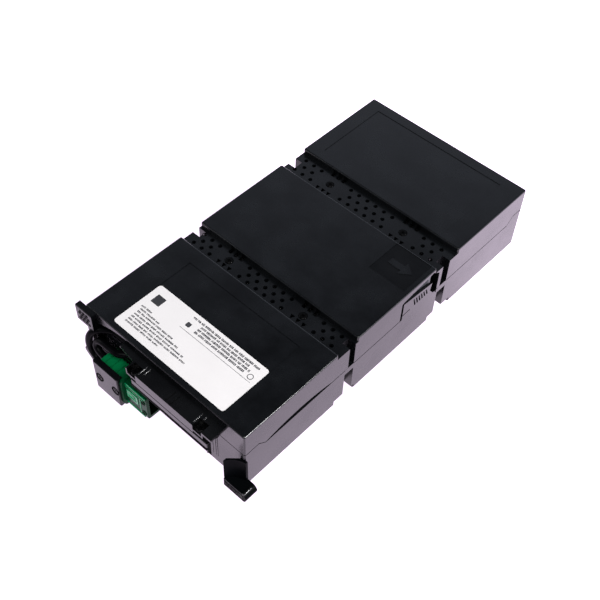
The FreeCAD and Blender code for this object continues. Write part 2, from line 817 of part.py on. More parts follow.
def grip_right():
    """Foot and curved web on the right corner, at the bottom."""
    face = front - foot_reach
    end = foot_left + foot_width
    wrap = front + foot_wrap
    nose = Part.Arc(Vector(end, face, foot_height), Vector(end + foot_nose, face, foot_height * 0.35),
                    Vector(end + 1, face, 0)).toShape()
    sides = Part.makePolygon([Vector(end + 1, face, 0), Vector(foot_left, face, 0),
                              Vector(foot_left, face, foot_height), Vector(end, face, foot_height)])
    foot = Part.Face(Part.Wire([nose] + sides.Edges)).extrude(Vector(0, wrap - face, 0))
    outer = right + 1.8
    corner = Vector(outer, front - 0.8, 0)
    start = Vector(foot_left, face + 0.6, 0)
    bulge = Vector((start.x + corner.x) / 2 - 1.6, (start.y + corner.y) / 2 + 1.6, 0)
    curve = Part.Arc(start, bulge, corner).toShape()
    rest = Part.makePolygon([corner, Vector(outer, wrap, 0), Vector(right - 5, wrap, 0),
                             Vector(right - 5, front, 0),
                             Vector(foot_left, start.y + web_left_depth, 0), start])
    web = Part.Face(Part.Wire([curve] + rest.Edges)).extrude(Vector(0, 0, web_height))
    body = joined([foot, web])
    body = body.cut(block((-right, right), (front, wrap + 1), (-1, web_height + 1)))
    pitch = (foot_height - 2) / foot_grooves
    grooves = []
    for index in range(foot_grooves):
        z = 1.4 + index * pitch
        grooves.append(block((foot_left - 1, end - 1), (face - 1, face + 0.9), (z, z + pitch * 0.45)))
    return body.cut(grooves)


# ================================================================ battery blocks and wiring
def block_places():
    """Each battery block's side, tab face, direction of its tabs, and the tabs' height."""
    high = floor_thickness + block_height - tab_edge
    low = floor_thickness + tab_edge
    face_1 = bay_1[1] - wall - end_gap
    face_2 = bay_2[1] - wall - end_gap - block_length
    face_3 = bay_3[1] - wall - end_gap - block_length
    return [(-1, face_1, 1, high), (-1, face_2, -1, low), (-1, face_3, -1, high),
            (1, face_3, -1, high), (1, face_2, -1, low), (1, face_1, 1, high)]


def battery(place):
    """Sealed 12 V block: case and lid as one closed pack, with two push-on tabs."""
    side, face, way, tab_height = place
    middle = side * block_middle
    across = (middle - block_width / 2, middle + block_width / 2)
    along = sorted((face, face - way * block_length))
    up = (floor_thickness, floor_thickness + block_height)
    body = bevelled(block(across, along, up), block_corner, lambda middle, along: abs(along.y) > 0.9)
    seam = sorted((face - way * lid_depth, face - way * (lid_depth + 0.8)))
    margin = 0.5
    band = block((across[0] - 1, across[1] + 1), seam, (up[0] - 1, up[1] + 1))
    core = block((across[0] + margin, across[1] - margin), (seam[0] - 1, seam[1] + 1),
                 (up[0] + margin, up[1] - margin))
    body = body.cut(band.cut(core))
    tabs = []
    for x in (middle - tab_spread, middle + tab_spread):
        reach = sorted((face - way, face + way * tab_length))
        tabs.append(block((x - tab_width / 2, x + tab_width / 2), reach,
                          (tab_height - tab_thickness / 2, tab_height + tab_thickness / 2)))
    return joined([body] + tabs)


def sleeves():
    """Insulated push-on sleeves, one on each tab."""
    made = []
    for side, face, way, z in block_places():
        for offset in (-tab_spread, tab_spread):
            x = side * block_middle + offset
            wire = lead_diameter if face < bay_1[1] and side * offset < 0 else link_diameter
            end = face + way * sleeve_length
            body = block((x - sleeve_width / 2, x + sleeve_width / 2), sorted((face, end)),
                         (z - sleeve_height / 2, z + sleeve_height / 2))
            slot = block((x - tab_width / 2, x + tab_width / 2),
                         sorted((face - way, face + way * tab_length)),
                         (z - tab_thickness / 2, z + tab_thickness / 2))
            bore = peg(bore_radius(wire), (x, end + way, z), (x, end - way * sleeve_socket, z))
            made.append(body.cut([slot, bore]))
    return Part.makeCompound(made)


def tab_end(number, outer):
    """Where a wire's end lies in the sleeve of a block's outer or inner tab."""
    side, face, way, z = block_places()[number - 1]
    x = side * (block_middle + (tab_spread if outer else -tab_spread))
    return x, face + way * (sleeve_length - sleeve_socket), z


def main_lead(side, spine_height, loop):
    """Lead from a pole of the connector, through the front window, to a front block."""
    channel = front + wall + lead_channel / 2
    turn = (bay_1[1] - wall + sleeve_length + bay_2[0] + wall + tab_room - sleeve_length) / 2
    x, y, z = tab_end(1 if side < 0 else 6, False)
    route = loop + [(0, channel, spine_height, 6.0), (0, turn, spine_height, 6.0),
                    (x, turn, z, 6.0), (x, y, z, 0)]
    return cable(route, lead_diameter, lead_sides)


def positive_lead():
    """Outer loop, from the connector's lower pole."""
    low = pole_heights[0]
    y = connector_middle
    start = connector_left + socket_depth
    loop = [(start, y, low, 0), (-93.0, y, low, 14.0), (-93.0, y, 52.0, 9.0),
            (-74.0, front + wall + lead_channel / 2, 54.5, 10.0)]
    return main_lead(-1, spine_high, loop)


def negative_lead():
    """Inner loop, from the connector's upper pole."""
    high = pole_heights[1]
    y = connector_middle
    start = connector_left + socket_depth
    loop = [(start, y, high, 0), (-84.0, y, high, 6.5), (-84.0, front - 5.0, 47.0, 7.0),
            (-55.0, front - 4.2, 47.8, 10.0), (-43.0, front + wall + lead_channel / 2, 47.8, 10.0)]
    return main_lead(1, spine_low, loop)


def short_link(first, second):
    """Link across strip one, between the outer tabs of two blocks."""
    start = tab_end(first, True)
    end = tab_end(second, True)
    turn = (start[1] + end[1]) / 2
    x = start[0]
    route = [(*start, 0), (x, turn, start[2], 5.0), (x, turn, end[2], 5.0), (*end, 0)]
    return cable(route, link_diameter, link_sides)


def long_link(front_block, rear_block, side):
    """Link between the inner tabs of a middle and a rear block, along the spine."""
    start = tab_end(front_block, False)
    end = tab_end(rear_block, False)
    lane = side * 3.3
    turn = start[1] - 9.0
    rise = strip_2[0] + 14.0
    route = [(*start, 0), (start[0], turn, start[2], 6.0), (lane, turn, spine_links, 6.0),
             (lane, rise, spine_links, 6.0), (end[0], rise, spine_links, 6.0),
             (end[0], rise, end[2], 5.0), (*end, 0)]
    return cable(route, link_diameter, link_sides)


def fuse_place():
    return strip_2[0] + 3.0


def fuse_link(rear_block, side):
    """Link from the outer tab of a rear block to the fuse, low in strip two."""
    start = tab_end(rear_block, True)
    y = fuse_place() + fuse_depth / 2
    z = strip_rise + floor_thickness + fuse_height / 2
    x = start[0]
    route = [(*start, 0), (x, y, start[2], 6.0), (x, y, z, 6.0), (side * fuse_width / 2, y, z, 0)]
    return cable(route, link_diameter, link_sides)


def fuse_block():
    """Moulded block round the series fuse, on the floor of strip two."""
    low = strip_rise + floor_thickness
    start = fuse_place()
    body = block((-fuse_width / 2, fuse_width / 2), (start, start + fuse_depth), (low, low + fuse_height))
    body = bevelled(body, 1.2, lambda middle, along: middle.z > low + 1)
    lid = block((-fuse_width / 4, fuse_width / 4), (start + 2, start + fuse_depth - 2),
                (low + fuse_height - 0.1, low + fuse_height + 1.2))
    return joined([body, lid])


def foam_pad(bay_face):
    """Foam sheet between one pair of blocks and the cover."""
    start, end = bay_face
    low = floor_thickness + block_height
    edge = 6.0
    reach = block_middle + block_width / 2 - edge
    return block((-reach, reach), (start + edge, end - edge), (low, low + pad_thickness))


# ================================================================ screws and label
def screw(seat, tip):
    """Pan-head screw from the seat of its head to its tip, plain: no thread and no drive."""
    seat, tip = Vector(*seat), Vector(*tip)
    up = (seat - tip).normalize()
    shoulder = seat + up * (screw_head_height - screw_head_bevel)
    crown = screw_head_radius - screw_head_bevel
    head = Part.makeLoft([ring(shoulder, up, screw_head_radius, 10),
                          ring(seat + up * screw_head_height, up, crown, 10)], True, True)
    body = peg(screw_head_radius, seat, shoulder)
    shank = peg(screw_shank_radius, tip, seat + up * 0.5)
    return joined([body, head, shank])


def cover_screws():
    seat = strip_top - cover_screw_sink
    return Part.makeCompound([screw((x, y, seat), (x, y, seat - cover_screw_length + 2))
                              for x, y in screw_places()])


def bar_screws():
    y = bar_screw_depth()
    return Part.makeCompound([screw((x, y, pocket_top), (x, y, bar_bottom + 3))
                              for x in pocket_middles()])


def bracket_screws():
    seat = connector_front - bracket_thickness + screw_head_height
    return Part.makeCompound([screw((x, seat, pole_middle), (x, front + wall + 3, pole_middle))
                              for x in bracket_screw_places()])


def label():
    """Printed sheet in the recess of bay one."""
    start = front + label_margin
    low = height - recess_depth
    outline = rounded_outline((-label_width / 2, label_width / 2), (start, start + label_length),
                              label_corner)
    return plate(outline, "z", low, low + label_thickness)


# ================================================================ build
def main():
    os.makedirs("parts", exist_ok=True)
    print(f"case {width:.1f} x {length:.1f} x {height:.1f} mm")
    outside = case_body(0, 0, 0).cut(side_channels(0))
    inside = case_body(wall, floor_thickness, top_thickness).cut(side_channels(wall))
    shell = outside.cut(inside)
    save("tray", tray(shell, inside))
    save("cover", cover(shell))
    for number, place in enumerate(block_places(), 1):
        save(f"battery_{number}", battery(place))
    faces = ((1, bay_1), (2, bay_2), (3, bay_3))
    for number, _ in faces:
        side, face, way, _ = block_places()[number - 1]
        save(f"foam_pad_{number}", foam_pad(sorted((face, face - way * block_length))))
    save("tab_sleeves", sleeves())
    save("positive_lead", positive_lead())
    save("negative_lead", negative_lead())
    save("link_1_2", short_link(1, 2))
    save("link_5_6", short_link(6, 5))
    save("link_2_3", long_link(2, 3, -1))
    save("link_4_5", long_link(5, 4, 1))
    save("link_3_fuse", fuse_link(3, -1))
    save("link_fuse_4", fuse_link(4, 1))
    save("fuse_block", fuse_block())
    save("connector_housing", connector_housing())
    save("contact_positive", contact(pole_heights[0]))
    save("contact_negative", contact(pole_heights[1]))
    save("connector_bracket", connector_bracket())
    save("bracket_screws", bracket_screws())
    save("bar_screws", bar_screws())
    save("cover_screws", cover_screws())
    save("grip_left", grip_left())
    save("grip_right", grip_right())
    save("label", label())


main()
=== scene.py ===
# %% [markdown]
# # A battery cartridge for a rack power supply
# The object is a flat black case, 200 mm wide and 400 mm long, moulded in two halves.
# Six sealed battery blocks lie inside it. On its front are a green two-pole connector,
# the two heavy leads that feed it, a pull bar and two corner grips.
# The solid shapes come from the CAD model. This lesson gives them their finishes, models
# what is too fine for the CAD model, and sets up the light and the camera.

# %% Load the CAD model
import math
import random

import bmesh
import bpy
from mathutils import Matrix, Vector


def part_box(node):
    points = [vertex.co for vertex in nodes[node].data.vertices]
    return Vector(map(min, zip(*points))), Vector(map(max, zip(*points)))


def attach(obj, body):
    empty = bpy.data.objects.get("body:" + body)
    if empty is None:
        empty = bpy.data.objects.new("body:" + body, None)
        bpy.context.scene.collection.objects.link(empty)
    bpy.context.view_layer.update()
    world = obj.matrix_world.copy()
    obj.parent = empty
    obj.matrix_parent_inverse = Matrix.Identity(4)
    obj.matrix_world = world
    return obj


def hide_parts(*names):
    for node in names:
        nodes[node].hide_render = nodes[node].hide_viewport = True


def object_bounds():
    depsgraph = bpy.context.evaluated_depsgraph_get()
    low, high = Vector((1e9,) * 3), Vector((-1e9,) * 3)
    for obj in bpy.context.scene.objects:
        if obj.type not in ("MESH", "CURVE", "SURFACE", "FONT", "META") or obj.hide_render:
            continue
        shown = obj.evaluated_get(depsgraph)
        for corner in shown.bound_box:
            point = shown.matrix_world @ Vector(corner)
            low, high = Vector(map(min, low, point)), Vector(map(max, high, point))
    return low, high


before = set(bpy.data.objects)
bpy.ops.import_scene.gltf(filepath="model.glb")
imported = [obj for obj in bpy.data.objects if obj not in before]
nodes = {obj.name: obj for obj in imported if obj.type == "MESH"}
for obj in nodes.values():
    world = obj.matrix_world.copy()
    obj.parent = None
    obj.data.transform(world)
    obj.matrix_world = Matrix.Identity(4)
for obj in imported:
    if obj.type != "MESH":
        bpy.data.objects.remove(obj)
cad_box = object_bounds()


def rounded(corner):
    """A corner or a size in metres, short enough to print."""
    return [round(value, 4) for value in corner]


print(len(nodes), "CAD nodes, box", [rounded(corner) for corner in cad_box])

# %% [markdown]
# ## Camera first
# The camera looks down on the front right corner, from about a metre away. A camera in
# Blender looks along its own -Z axis, so its matrix is made of three columns: to the
# right, up, and back towards the viewer. A lens of 59 mm gives mild perspective.

# %% Camera
camera_right = Vector((0.73264, 0.67999, 0.02929))
camera_up = Vector((-0.54196, 0.55681, 0.62947))
camera_place = Vector((0.4018, -0.4888, 0.7707))

camera_data = bpy.data.cameras.new("camera")
camera_data.lens = 59.46
camera_data.sensor_width = 36.0
camera_data.clip_start = 0.01
camera = bpy.data.objects.new("camera", camera_data)
bpy.context.scene.collection.objects.link(camera)
turn = Matrix((camera_right, camera_up, camera_right.cross(camera_up))).transposed()
camera.matrix_world = Matrix.Translation(camera_place) @ turn.to_4x4()
bpy.context.scene.camera = camera
print("camera distance to the origin", round(camera_place.length, 3), "m")

# %% [markdown]
# ## Reference sizes
# Screws, the label's print and the floor are placed by the boxes of CAD nodes. The other
# places are sizes of the CAD model, written in millimetres. MM turns them into metres,
# the unit of this scene. X runs to the right, Y to the back and Z up.

# %% Boxes of the main nodes, and sizes that come back
cover_low, cover_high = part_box("cover")
tray_low, tray_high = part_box("tray")
label_low, label_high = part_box("label")
MM = 0.001
top = 76.9 * MM
front = -199.95 * MM
facing_front = (math.radians(90), 0, 0)
for name, low, high in (("cover", cover_low, cover_high), ("tray", tray_low, tray_high),
                        ("label", label_low, label_high)):
    print(name, rounded(low), rounded(high))

# %% [markdown]
# ## Helpers for modelling
# Blender's operators act on whatever is selected, and loading leaves the CAD nodes
# selected. So each new piece starts with nothing selected. Another helper bakes a piece's
# place into its mesh, because every piece ends up at the origin. A third selects faces or
# edges by where they lie and which way they run, as a hand would by clicking on them.


# %% Starting and finishing a piece
def start_clean():
    if bpy.context.object and bpy.context.object.mode != "OBJECT":
        bpy.ops.object.mode_set(mode="OBJECT")
    bpy.ops.object.select_all(action="DESELECT")


def choose(piece):
    """Make a piece the only one that operators act on."""
    start_clean()
    bpy.context.view_layer.objects.active = piece
    piece.select_set(True)


def settle(name):
    """Name the active piece and put its place, turn and scale into its mesh."""
    piece = bpy.context.object
    piece.name = name
    piece.data.name = name
    bpy.ops.object.transform_apply(location=True, rotation=True, scale=True)
    return piece


def join_as(name, pieces):
    start_clean()
    for piece in pieces:
        piece.select_set(True)
    bpy.context.view_layer.objects.active = pieces[0]
    bpy.ops.object.join()
    return settle(name)


def wear(piece, material):
    """Give a new piece its finish, and tie it to the object."""
    piece.data.materials.clear()
    piece.data.materials.append(material)
    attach(piece, "root")
    return piece


# %% Picking, blocks and copies
def pick(test, kind="FACE"):
    """In edit mode, select the faces or edges whose middle and direction pass a test."""
    mesh = bmesh.from_edit_mesh(bpy.context.object.data)
    bpy.ops.mesh.select_all(action="DESELECT")
    bpy.ops.mesh.select_mode(type=kind)
    place = bpy.context.object.matrix_world
    if kind == "FACE":
        for face in mesh.faces:
            middle = place @ face.calc_center_median()
            face.select_set(bool(test(middle, place.to_3x3() @ face.normal)))
    else:
        for edge in mesh.edges:
            start, end = [place @ corner.co for corner in edge.verts]
            edge.select_set(bool(test((start + end) / 2, (end - start).normalized())))
    mesh.select_flush_mode()
    bmesh.update_edit_mesh(bpy.context.object.data)


def add_block(middle, size):
    """Start a piece as a block around its middle, in metres, and open it for editing."""
    start_clean()
    bpy.ops.mesh.primitive_cube_add(size=1, location=middle)
    bpy.context.object.scale = size
    bpy.ops.object.transform_apply(location=False, rotation=False, scale=True)
    bpy.ops.object.mode_set(mode="EDIT")


def round_uprights(rounding, segments):
    """In edit mode, round a block's upright edges."""
    pick(lambda middle, along: abs(along.z) > 0.9, "EDGE")
    bpy.ops.mesh.bevel(offset=rounding, segments=segments)


def copy_at(piece, place):
    """Copy a piece with a mesh of its own, and move that mesh by a matrix."""
    twin = piece.copy()
    twin.data = piece.data.copy()
    bpy.context.scene.collection.objects.link(twin)
    twin.data.transform(place)
    return twin


def at(x, y, z):
    """The matrix that moves a piece to a place in millimetres."""
    return Matrix.Translation((x * MM, y * MM, z * MM))


# %% [markdown]
# ## Moulded plastic
# The case is black plastic with a fine, even spark-eroded grain that softens reflections.
# A finish needs three scales to look real: broad variation in gloss from handling,
# the fine grain as bump, and a slightly paler tone in places. All read Object coordinates,
# so the pattern stays on the part. A low specular level stands for a matt, deeply grained
# surface, which stays black even where it is seen at a flat angle.
#
# Two helpers paint light and shade into a colour by its place on the part. The first fades it
# along an axis: it paints the hood's shade on the case where it stands in front of its front
# wall, and paints light on the connector's lit left end, with painted shade on the rest of
# it.
# The second paints shade inside the connector's mouth.


# %% Helpers for shader nodes
def set_inputs(node, values):
    for socket, value in values.items():
        node.inputs[socket].default_value = value


def add_node(tree, kind, values=None):
    """Add a shader node of a kind, with values for its sockets."""
    node = tree.nodes.new("ShaderNode" + kind)
    set_inputs(node, values or {})
    return node


def find_node(material, kind):
    return next(node for node in material.node_tree.nodes if node.type == kind)


def fade_between(tree, dark, light, dark_until=0.0, light_from=1.0):
    """A ramp from a dark colour to a light one."""
    ramp = add_node(tree, "ValToRGB")
    stops = ramp.color_ramp.elements
    stops[0].position = dark_until
    stops[1].position = light_from
    stops[0].color = (*dark, 1)
    stops[1].color = (*light, 1)
    return ramp


# %% Shade a colour by its place on the part
def scale_colour(material, factor):
    """Multiply a material's colour by the value of a socket."""
    tree = material.node_tree
    base = tree.nodes["Principled BSDF"].inputs["Base Color"]
    scale = add_node(tree, "VectorMath")
    scale.operation = "SCALE"
    tree.links.new(base.links[0].from_socket, scale.inputs[0])
    tree.links.new(factor, scale.inputs["Scale"])
    tree.links.new(scale.outputs["Vector"], base)


def split_place(material):
    """The X, Y and Z of a point on the part, as sockets."""
    split = add_node(material.node_tree, "SeparateXYZ")
    place = find_node(material, "TEX_COORD").outputs["Object"]
    material.node_tree.links.new(place, split.inputs["Vector"])
    return split.outputs


def shade_where(material, axis, start, end, low_factor, high_factor):
    """Scale a material's colour from one factor to another along an axis, in metres."""
    fade = add_node(material.node_tree, "MapRange",
                    {"From Min": start, "From Max": end,
                     "To Min": low_factor, "To Max": high_factor})
    material.node_tree.links.new(split_place(material)[axis], fade.inputs["Value"])
    scale_colour(material, fade.outputs["Result"])


def shade_inside(material, y_range, z_range, factor):
    """Paint shade into a hollow that runs along X: what lies within both ranges, in metres.
    """
    tree = material.node_tree
    place = split_place(material)
    both = add_node(tree, "Math")
    both.operation = "MULTIPLY"
    for number, (axis, (low, high)) in enumerate((("Y", y_range), ("Z", z_range))):
        near = add_node(tree, "Math", {1: (low + high) / 2, 2: (high - low) / 2})
        near.operation = "COMPARE"
        tree.links.new(place[axis], near.inputs[0])
        tree.links.new(near.outputs["Value"], both.inputs[number])
    fade = add_node(tree, "MapRange", {"To Min": 1.0, "To Max": factor})
    tree.links.new(both.outputs["Value"], fade.inputs["Value"])
    scale_colour(material, fade.outputs["Result"])


# %% A material with grain, mottling and handling marks
FRONT_SHADE_START, FRONT_SHADE_END = -0.203, -0.199


def moulded(name, colour, roughness, grain=0.0006, depth=0.05, mottle=0.12,
            specular=0.5, coat=0.0, front_shade=None):
    """A moulded finish. The grain is its size in metres, the depth its strength."""
    material = bpy.data.materials.new(name)
    material.use_nodes = True
    tree = material.node_tree
    shader = tree.nodes["Principled BSDF"]
    set_inputs(shader, {"Specular IOR Level": specular, "Coat Weight": coat,
                        "Coat Roughness": 0.12})
    place = add_node(tree, "TexCoord")

    broad = add_node(tree, "TexNoise", {"Scale": 26.0, "Detail": 7.0, "Roughness": 0.6})
    tree.links.new(place.outputs["Object"], broad.inputs["Vector"])

    tone = fade_between(tree, [c * (1 - mottle) for c in colour],
                        [min(1, c * (1 + mottle)) for c in colour], 0.35, 0.70)
    tree.links.new(broad.outputs["Fac"], tone.inputs["Fac"])
    tree.links.new(tone.outputs["Color"], shader.inputs["Base Color"])
    # Painted shade: the colour is darkened where the part stands in front of the case's front
    # wall.
    if front_shade is not None:
        shade_where(material, "Y", FRONT_SHADE_START, FRONT_SHADE_END, front_shade, 1.0)

    gloss = add_node(tree, "MapRange", {"From Min": 0.3, "From Max": 0.7,
                                        "To Min": roughness * 0.78,
                                        "To Max": min(1.0, roughness * 1.30)})
    tree.links.new(broad.outputs["Fac"], gloss.inputs["Value"])
    tree.links.new(gloss.outputs["Result"], shader.inputs["Roughness"])

    fine = add_node(tree, "TexNoise", {"Scale": 1.0 / grain, "Detail": 2.0})
    tree.links.new(place.outputs["Object"], fine.inputs["Vector"])
    bump = add_node(tree, "Bump", {"Strength": depth, "Distance": 0.0002})
    tree.links.new(fine.outputs["Fac"], bump.inputs["Height"])
    tree.links.new(bump.outputs["Normal"], shader.inputs["Normal"])
    return material


# %% Plastics of the case, the battery blocks and the connector
# The case has painted shade in front of its front wall, down to a fifth of its colour.
case_black = moulded("case_black", (0.0019, 0.0023, 0.0029), 0.24, grain=0.0007,
                     depth=0.035, mottle=0.45, front_shade=0.2)
front_black = moulded("front_black", (0.0012, 0.0013, 0.0017), 0.24, specular=0.26)
foot_black = moulded("foot_black", (0.0012, 0.0016, 0.0019), 0.32, specular=0.012)
# A near-black finish that hardly reflects, used for painted shade: under the bar, over the
# honeycomb pockets, round the vents and the bracket's screws, and along the bar's lower edge.
shade_matt_black = moulded("shade_matt_black", (0.0008, 0.0009, 0.0011), 0.50, specular=0.01)
edge_black = moulded("edge_black", (0.0030, 0.0030, 0.0034), 0.20, depth=0.02, specular=0.8)
block_grey = moulded("block_grey", (0.040, 0.042, 0.047), 0.5)
fuse_grey = moulded("fuse_grey", (0.05, 0.05, 0.055), 0.45)
sleeve_milky = moulded("sleeve_milky", (0.62, 0.60, 0.54), 0.4)
connector_green = moulded("connector_green", (0.0005, 0.070, 0.021), 0.28, grain=0.0009,
                          depth=0.03, specular=0.06)
# Its green, much lighter than the connector's own, is a painted highlight; its gloss is real.
connector_gloss_and_highlight = moulded("connector_gloss_and_highlight", (0.002, 0.260, 0.090), 0.18, grain=0.0009,
                           depth=0.02, mottle=0.10, specular=0.6)
connector_shade = moulded("connector_shade", (0.0004, 0.018, 0.006), 0.45, specular=0.05)

# Painted light on the connector's left end, where its top is lit brighter, and painted shade
# on the rest of it.
shade_where(connector_green, "X", -0.052, -0.037, 2.2, 0.62)
# Painted shade inside the connector's mouth.
mouth_y, mouth_z = (-0.21345, -0.20305), (0.0111, 0.0364)
shade_inside(connector_green, mouth_y, mouth_z, 0.10)
print("moulded plastics:", [material.name for material in bpy.data.materials
                            if material.node_tree and "Bump" in material.node_tree.nodes])

# %% [markdown]
# ## Foam, leads, metal and printed film
# The pads are cellular foam, so a Voronoi pattern pits their surface. Lead jackets are
# smooth rubbery plastic with a faint drawing grain. The screws are blackened, so they take
# the moulded recipe with a thin coat. Only the contacts are bare plated metal. The label
# is white film with a very faint texture.


# %% Foam
def foam_material():
    """The moulded recipe, its grain replaced by cells."""
    material = moulded("foam_black", (0.05, 0.05, 0.053), 0.95, depth=0.6)
    tree = material.node_tree
    height = find_node(material, "BUMP").inputs["Height"]
    tree.nodes.remove(height.links[0].from_node)
    cells = add_node(tree, "TexVoronoi", {"Scale": 900.0})
    place = find_node(material, "TEX_COORD").outputs["Object"]
    tree.links.new(place, cells.inputs["Vector"])
    tree.links.new(cells.outputs["Distance"], height)
    return material


foam_black = foam_material()

# %% Lead jackets and screws
lead_black = moulded("lead_black", (0.0012, 0.0013, 0.0017), 0.28, grain=0.0012,
                     depth=0.03, specular=0.05)
link_black = moulded("link_black", (0.015, 0.015, 0.016), 0.45, grain=0.0012, depth=0.04)
screw_dark = moulded("screw_dark", (0.0020, 0.0020, 0.0022), 0.22, grain=0.0008,
                     depth=0.04, specular=0.05, coat=0.04)


# %% Plated metal
def plated(name, colour, roughness, scratched):
    """Plated metal. Drawn marks darken it and roughen it by up to a given amount."""
    material = bpy.data.materials.new(name)
    material.use_nodes = True
    tree = material.node_tree
    shader = tree.nodes["Principled BSDF"]
    set_inputs(shader, {"Metallic": 1.0})
    place = add_node(tree, "TexCoord")
    stretch = add_node(tree, "Mapping", {"Scale": (1.0, 6.0, 1.0)})
    tree.links.new(place.outputs["Object"], stretch.inputs["Vector"])
    marks = add_node(tree, "TexNoise", {"Scale": 700.0, "Detail": 3.0})
    tree.links.new(stretch.outputs["Vector"], marks.inputs["Vector"])
    tone = fade_between(tree, [c * 0.72 for c in colour], colour)
    tree.links.new(marks.outputs["Fac"], tone.inputs["Fac"])
    tree.links.new(tone.outputs["Color"], shader.inputs["Base Color"])
    gloss = add_node(tree, "MapRange", {"To Min": roughness, "To Max": roughness + scratched})
    tree.links.new(marks.outputs["Fac"], gloss.inputs["Value"])
    tree.links.new(gloss.outputs["Result"], shader.inputs["Roughness"])
    return material


contact_silver = plated("contact_silver", (0.80, 0.78, 0.74), 0.22, 0.14)


# %% Printed film
def film(name, colour, roughness):
    return moulded(name, colour, roughness, grain=0.0015, depth=0.015, mottle=0.015,
                   specular=0.4)


label_white = film("label_white", (0.745, 0.715, 0.70), 0.38)
print_grey = film("print_grey", (0.045, 0.045, 0.05), 0.42)
print_dark = film("print_dark", (0.030, 0.030, 0.033), 0.42)
print(len(bpy.data.materials), "materials")

# %% [markdown]
# ## Dress the CAD nodes
# A CAD node's shape is never changed here. It only gets its finish, by its material slots.

# %% Give every CAD node its finish
finishes = {
    "tray": case_black, "cover": case_black,
    "grip_left": front_black, "grip_right": foot_black, "connector_bracket": front_black,
    "connector_housing": connector_green,
    "contact_positive": contact_silver, "contact_negative": contact_silver,
    "bar_screws": screw_dark, "cover_screws": screw_dark, "bracket_screws": screw_dark,
    "positive_lead": lead_black, "negative_lead": lead_black,
    "fuse_block": fuse_grey, "tab_sleeves": sleeve_milky, "label": label_white,
}
for name, node in nodes.items():
    material = finishes.get(name)
    if name.startswith("battery"):
        material = block_grey
    elif name.startswith("foam"):
        material = foam_black
    elif name.startswith("link"):
        material = link_black
    for material_slot in node.material_slots:
        material_slot.material = material
print("dressed", len(nodes), "nodes")

# %% [markdown]
# ## Screws with a cross drive
# The CAD screws are plain. Screws like these usually have a pan head with a cross recess,
# which catches the light. One is modelled: a cylinder whose top edge is bevelled round,
# with its shank drawn out below and a cross cut out of it by a Boolean. It is then copied
# to each screw, turned a little further each time, as screws stop where they are tight.

# %% One detailed screw
HEAD_HEIGHT = 2.8 * MM


def model_screw(name, radius, thickness, shank_radius, shank_length):
    start_clean()
    bpy.ops.mesh.primitive_cylinder_add(vertices=40, radius=radius, depth=thickness,
                                        location=(0, 0, thickness / 2))
    bpy.ops.object.mode_set(mode="EDIT")
    pick(lambda middle, along: middle.z > thickness * 0.99, "EDGE")
    bpy.ops.mesh.bevel(offset=thickness * 0.42, segments=5, profile=0.55)
    pick(lambda middle, normal: normal.z < -0.9)
    bpy.ops.mesh.inset(thickness=radius - shank_radius)
    bpy.ops.mesh.extrude_region_move(TRANSFORM_OT_translate={"value": (0, 0, -shank_length)})
    bpy.ops.object.mode_set(mode="OBJECT")
    head = settle(name)

    slot_length, slot_width = radius * 1.3, radius * 0.32
    cutters = []
    for across, along in ((slot_length, slot_width), (slot_width, slot_length)):
        add_block((0, 0, thickness), (across, along, thickness * 1.1))
        pick(lambda middle, normal: normal.z < -0.9)
        bpy.ops.transform.resize(value=(0.55, 0.55, 1))
        bpy.ops.object.mode_set(mode="OBJECT")
        cutters.append(settle("cross_part"))
    for cutter in cutters:
        choose(head)
        cut = head.modifiers.new("cross", "BOOLEAN")
        cut.operation = "DIFFERENCE"
        cut.solver = "EXACT"
        cut.object = cutter
        bpy.ops.object.modifier_apply(modifier="cross")
        bpy.data.objects.remove(cutter)
    bpy.ops.object.shade_smooth_by_angle(angle=math.radians(35))
    print(name, len(head.data.polygons), "faces")
    return head


screw_master = model_screw("screw_master", 3.8 * MM, HEAD_HEIGHT, 1.9 * MM, 12 * MM)


# %% Find where a node's screws are
def islands(name):
    """Boxes of a node's separate solids, found by growing each from shared corners."""
    mesh = bmesh.new()
    mesh.from_mesh(nodes[name].data)
    bmesh.ops.remove_doubles(mesh, verts=mesh.verts, dist=1e-6)
    left = set(mesh.verts)
    boxes = []
    while left:
        pile = [left.pop()]
        found = []
        while pile:
            corner = pile.pop()
            found.append(corner.co.copy())
            for edge in corner.link_edges:
                other = edge.other_vert(corner)
                if other in left:
                    left.remove(other)
                    pile.append(other)
        low = Vector(min(p[i] for p in found) for i in range(3))
        high = Vector(max(p[i] for p in found) for i in range(3))
        boxes.append((low, high))
    mesh.free()
    return sorted(boxes, key=lambda item: (round(item[0].y, 3), item[0].x))


# %% Copies of the screw, each in its seat
FIRST_TURN, TURN_STEP = 20, 37


def seat_screws(node, forward=False):
    """Put detailed screws in place of a node's plain ones, facing up or forward."""
    copies = []
    for number, (low, high) in enumerate(islands(node)):
        middle = (low + high) / 2
        if forward:
            seat = Vector((middle.x, low.y + HEAD_HEIGHT, middle.z))
            facing = Matrix.Rotation(math.radians(90), 4, "X")
        else:
            seat = Vector((middle.x, middle.y, high.z - HEAD_HEIGHT))
            facing = Matrix.Identity(4)
        spin = Matrix.Rotation(math.radians(FIRST_TURN + TURN_STEP * number), 4, "Z")
        copies.append(copy_at(screw_master, Matrix.Translation(seat) @ facing @ spin))
    group = join_as(node.replace("screws", "screw_heads"), copies)
    wear(group, screw_dark)
    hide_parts(node)
    print(group.name, "at", [rounded(low) for low, high in islands(node)])


seat_screws("cover_screws")
seat_screws("bar_screws")
seat_screws("bracket_screws", forward=True)
bpy.data.objects.remove(screw_master)

# %% [markdown]
# ## Print on the label
# The label carries plain printed fields only: a dark square, two groups of rows with a
# line under the second, and a small ring. Each row is broken into short dashes of uneven
# length, which read as print from a distance and say nothing close up. A printed field is
# ink, so each dash is a very thin raised shape with softened corners. The lengths come
# from a seeded random number, so that they are the same each time.

